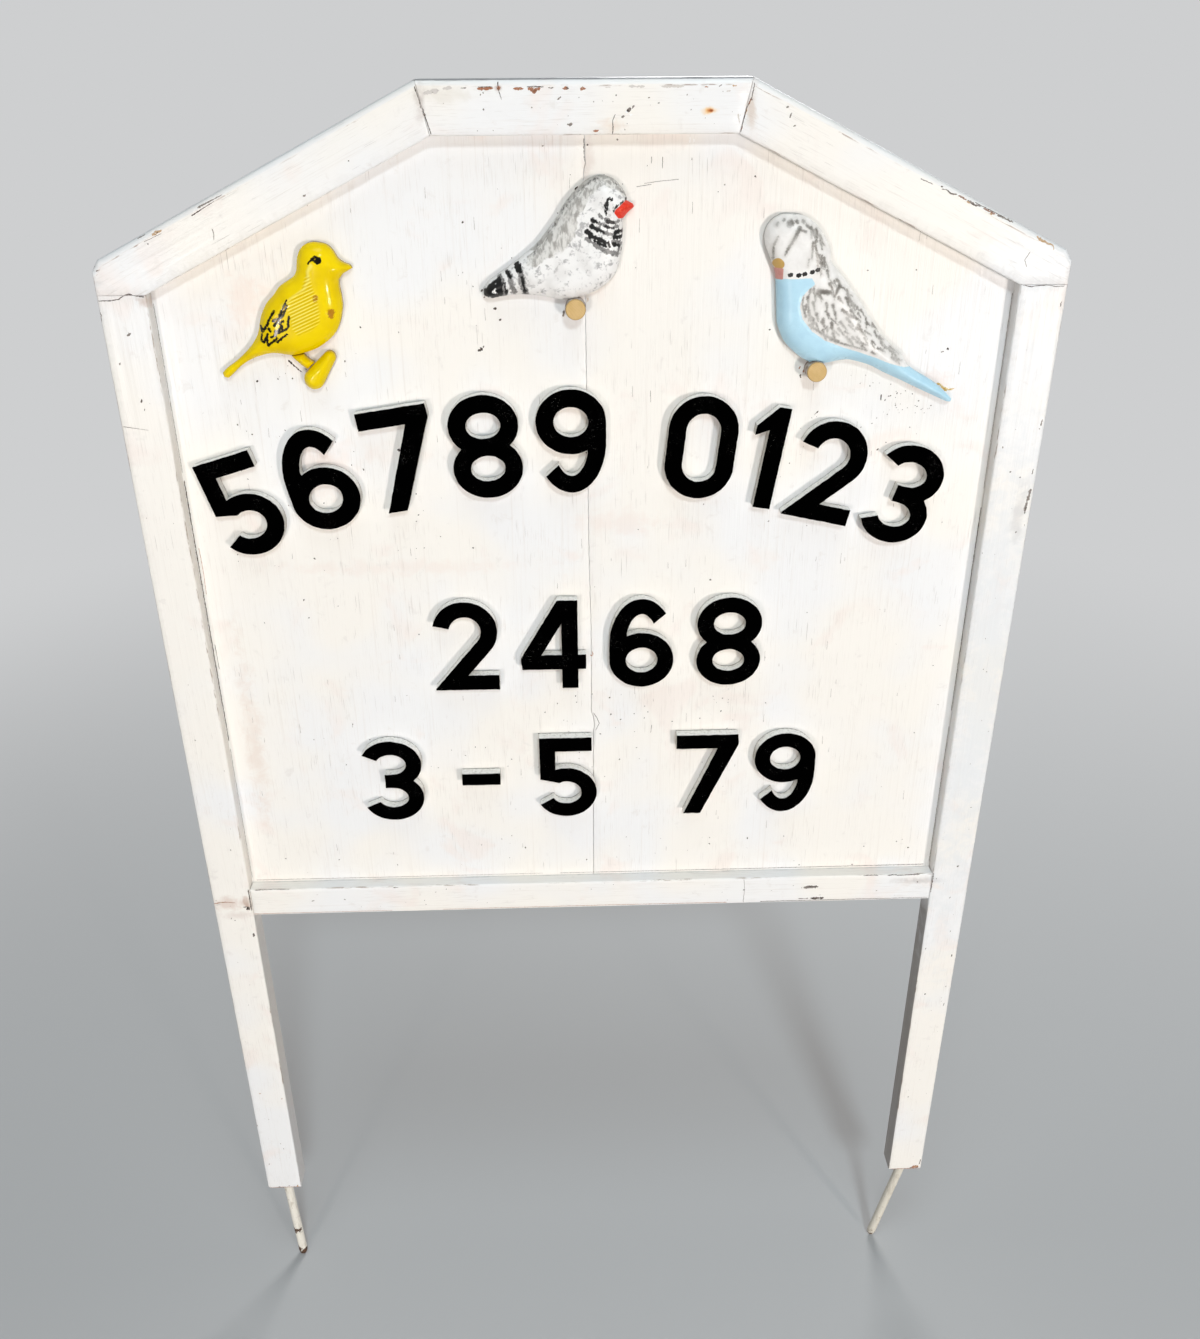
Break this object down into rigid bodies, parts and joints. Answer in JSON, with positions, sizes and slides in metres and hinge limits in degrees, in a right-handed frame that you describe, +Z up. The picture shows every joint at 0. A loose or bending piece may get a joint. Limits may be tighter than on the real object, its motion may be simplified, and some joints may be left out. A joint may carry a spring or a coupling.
{
  "type": "garden trade sign",
  "caption": "Outdoor sign: framed house-shaped board on two legs with ground spikes, raised block numbers in three rows and carved painted birds.",
  "frame": {"origin": "midway between the legs, level with their sawn ends, in the middle of the frame timber's thickness", "axes": "+X to the viewer's right, -Y out of the face with the birds and numbers, +Z up"},
  "size_m": [0.9, 0.0496, 1.5103],
  "materials": {
    "frame_paint": "weathered white gloss paint on softwood, chipped at the edges",
    "panel_paint": "weathered white gloss paint with fine upright checks",
    "batten_paint": "thin white paint on softwood",
    "number_enamel": "black enamel on the faces, white paint on the sides",
    "canary_enamel": "glossy yellow enamel with black strokes",
    "finch_enamel": "white enamel with grey and black strokes, red beak",
    "budgerigar_enamel": "sky blue and white enamel with grey strokes",
    "bare_dowel": "bare varnished dowel",
    "screw_steel": "dull steel with light rust",
    "spike_paint": "cream paint, chipped and rusty at the ends"
  },
  "bodies": {
    "root": {"top_rail": "frame_paint", "sloped_rail_left": "frame_paint", "sloped_rail_right": "frame_paint", "stile_left": "frame_paint", "stile_right": "frame_paint", "bottom_rail": "frame_paint", "panel_board_left": "panel_paint", "panel_board_right": "panel_paint", "batten_upper": "batten_paint", "batten_lower": "batten_paint", "top_number_5": "number_enamel", "top_number_6": "number_enamel", "top_number_7": "number_enamel", "top_number_8": "number_enamel", "top_number_9": "number_enamel", "top_number_0": "number_enamel", "top_number_1": "number_enamel", "top_number_2": "number_enamel", "top_number_3": "number_enamel", "middle_number_2": "number_enamel", "middle_number_4": "number_enamel", "middle_number_6": "number_enamel", "middle_number_8": "number_enamel", "bottom_number_3": "number_enamel", "bottom_dash": "number_enamel", "bottom_number_5": "number_enamel", "bottom_number_7": "number_enamel", "bottom_number_9": "number_enamel", "canary_body": "canary_enamel", "canary_leg": "canary_enamel", "canary_foot": "canary_enamel", "finch_body": "finch_enamel", "budgerigar_body": "budgerigar_enamel", "mitre_dowel_left": "bare_dowel", "mitre_dowel_right": "bare_dowel", "shoulder_dowel_left": "bare_dowel", "shoulder_dowel_right": "bare_dowel", "rail_dowel_lower_left": "bare_dowel", "rail_dowel_lower_right": "bare_dowel", "rail_dowel_upper_left": "bare_dowel", "rail_dowel_upper_right": "bare_dowel", "finch_perch": "bare_dowel", "budgerigar_perch": "bare_dowel", "upper_stile_screw_left": "screw_steel", "upper_stile_screw_right": "screw_steel", "upper_board_screw_left": "screw_steel", "upper_board_screw_right": "screw_steel", "lower_stile_screw_left": "screw_steel", "lower_stile_screw_right": "screw_steel", "lower_board_screw_left": "screw_steel", "lower_board_screw_right": "screw_steel", "canary_pin_upper": "screw_steel", "canary_pin_lower": "screw_steel", "spike_left": "spike_paint", "spike_right": "spike_paint"}
  },
  "joints": []
}
